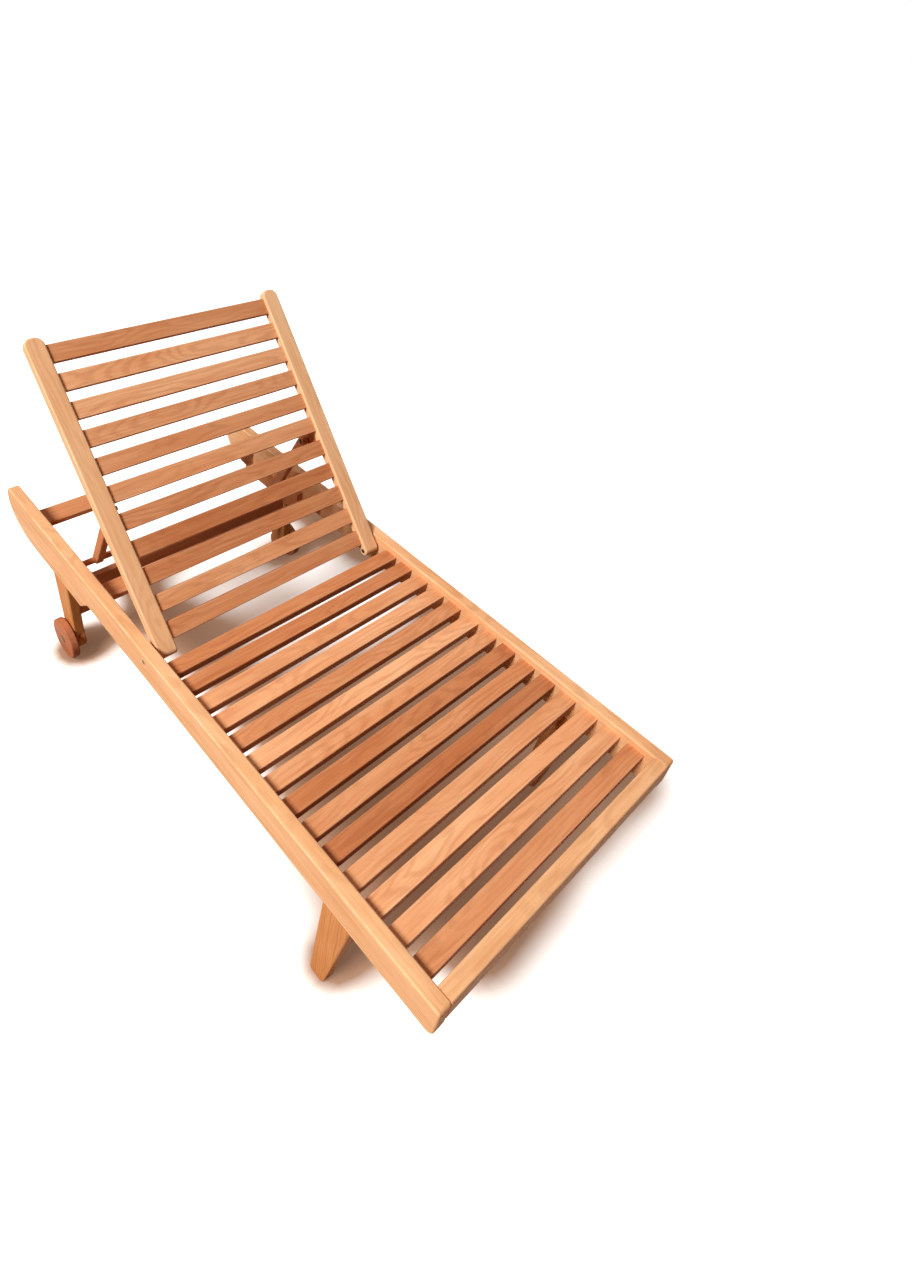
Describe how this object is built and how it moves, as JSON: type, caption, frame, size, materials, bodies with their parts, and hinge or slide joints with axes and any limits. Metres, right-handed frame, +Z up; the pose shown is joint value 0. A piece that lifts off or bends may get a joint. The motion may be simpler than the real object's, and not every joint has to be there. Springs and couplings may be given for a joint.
{
  "type": "sun lounger",
  "caption": "Slatted wooden sun lounger with deep side rails, legs at the foot, wheels at the head and a back raised on a hinged prop frame.",
  "frame": {"origin": "on the floor, under the middle of the side rails", "axes": "+X towards the foot end, -Y towards the near side of the picture, +Z up"},
  "size_m": [2, 0.9306, 1.114],
  "materials": {
    "frame_wood": "oiled pale orange hardwood, fine straight grain, satin",
    "slat_wood": "oiled red-brown hardwood, fine straight grain, satin",
    "inner_wood": "oiled orange-brown hardwood, satin",
    "wheel_wood": "oiled reddish hardwood, turned, satin",
    "fitting_metal": "dulled brass, brushed"
  },
  "bodies": {
    "frame": {"side_rail_near": "frame_wood", "side_rail_far": "frame_wood", "seat_slat_01": "slat_wood", "seat_slat_02": "slat_wood", "seat_slat_03": "slat_wood", "seat_slat_04": "slat_wood", "seat_slat_05": "slat_wood", "seat_slat_06": "slat_wood", "seat_slat_07": "slat_wood", "seat_slat_08": "slat_wood", "seat_slat_09": "slat_wood", "seat_slat_10": "slat_wood", "seat_slat_11": "slat_wood", "seat_slat_12": "slat_wood", "seat_slat_13": "slat_wood", "seat_slat_14": "slat_wood", "foot_end_rail": "frame_wood", "head_cross_board": "inner_wood", "middle_cross_board": "inner_wood", "rack_near": "inner_wood", "rack_far": "inner_wood", "foot_leg_near": "frame_wood", "foot_leg_far": "frame_wood", "head_leg_near": "frame_wood", "head_leg_far": "frame_wood", "foot_stretcher": "inner_wood", "head_stretcher": "inner_wood", "hinge_bolts": "fitting_metal", "hinge_nuts": "fitting_metal", "hinge_washers": "fitting_metal", "axle_bolts": "fitting_metal", "axle_nuts": "fitting_metal", "axle_washers": "fitting_metal", "rack_screws": "fitting_metal"},
    "back": {"stile_near": "frame_wood", "stile_far": "frame_wood", "back_slat_01": "slat_wood", "back_slat_02": "slat_wood", "back_slat_03": "slat_wood", "back_slat_04": "slat_wood", "back_slat_05": "slat_wood", "back_slat_06": "slat_wood", "back_slat_07": "slat_wood", "back_slat_08": "slat_wood", "back_slat_09": "slat_wood", "back_slat_10": "slat_wood", "back_slat_11": "slat_wood", "prop_block_near": "frame_wood", "prop_block_far": "frame_wood", "prop_pivot_bolts": "fitting_metal", "prop_pivot_nuts": "fitting_metal"},
    "prop": {"prop_arm_near": "inner_wood", "prop_arm_far": "inner_wood", "prop_bar": "inner_wood"},
    "wheel_near": {"wheel_near": "wheel_wood"},
    "wheel_far": {"wheel_far": "wheel_wood"}
  },
  "joints": [
    {"name": "back_hinge", "type": "hinge", "parent": "frame", "child": "back", "pos_m": [-0.103, 0, 0.444], "axis": [0, 1, 0], "range_deg": [-48, 5]},
    {"name": "prop_hinge", "type": "hinge", "parent": "back", "child": "prop", "pos_m": [-0.42936, 0, 0.70185], "axis": [0, 1, 0], "range_deg": [-11.5, 110.4]},
    {"name": "wheel_near_spin", "type": "hinge", "parent": "frame", "child": "wheel_near", "pos_m": [-0.649, 0, 0.072], "axis": [0, 1, 0], "continuous": true},
    {"name": "wheel_far_spin", "type": "hinge", "parent": "frame", "child": "wheel_far", "pos_m": [-0.649, 0, 0.072], "axis": [0, 1, 0], "continuous": true}
  ],
  "couplings": [
    {"joint": "prop_hinge", "follows": "back_hinge", "ratio": -2.3}
  ]
}
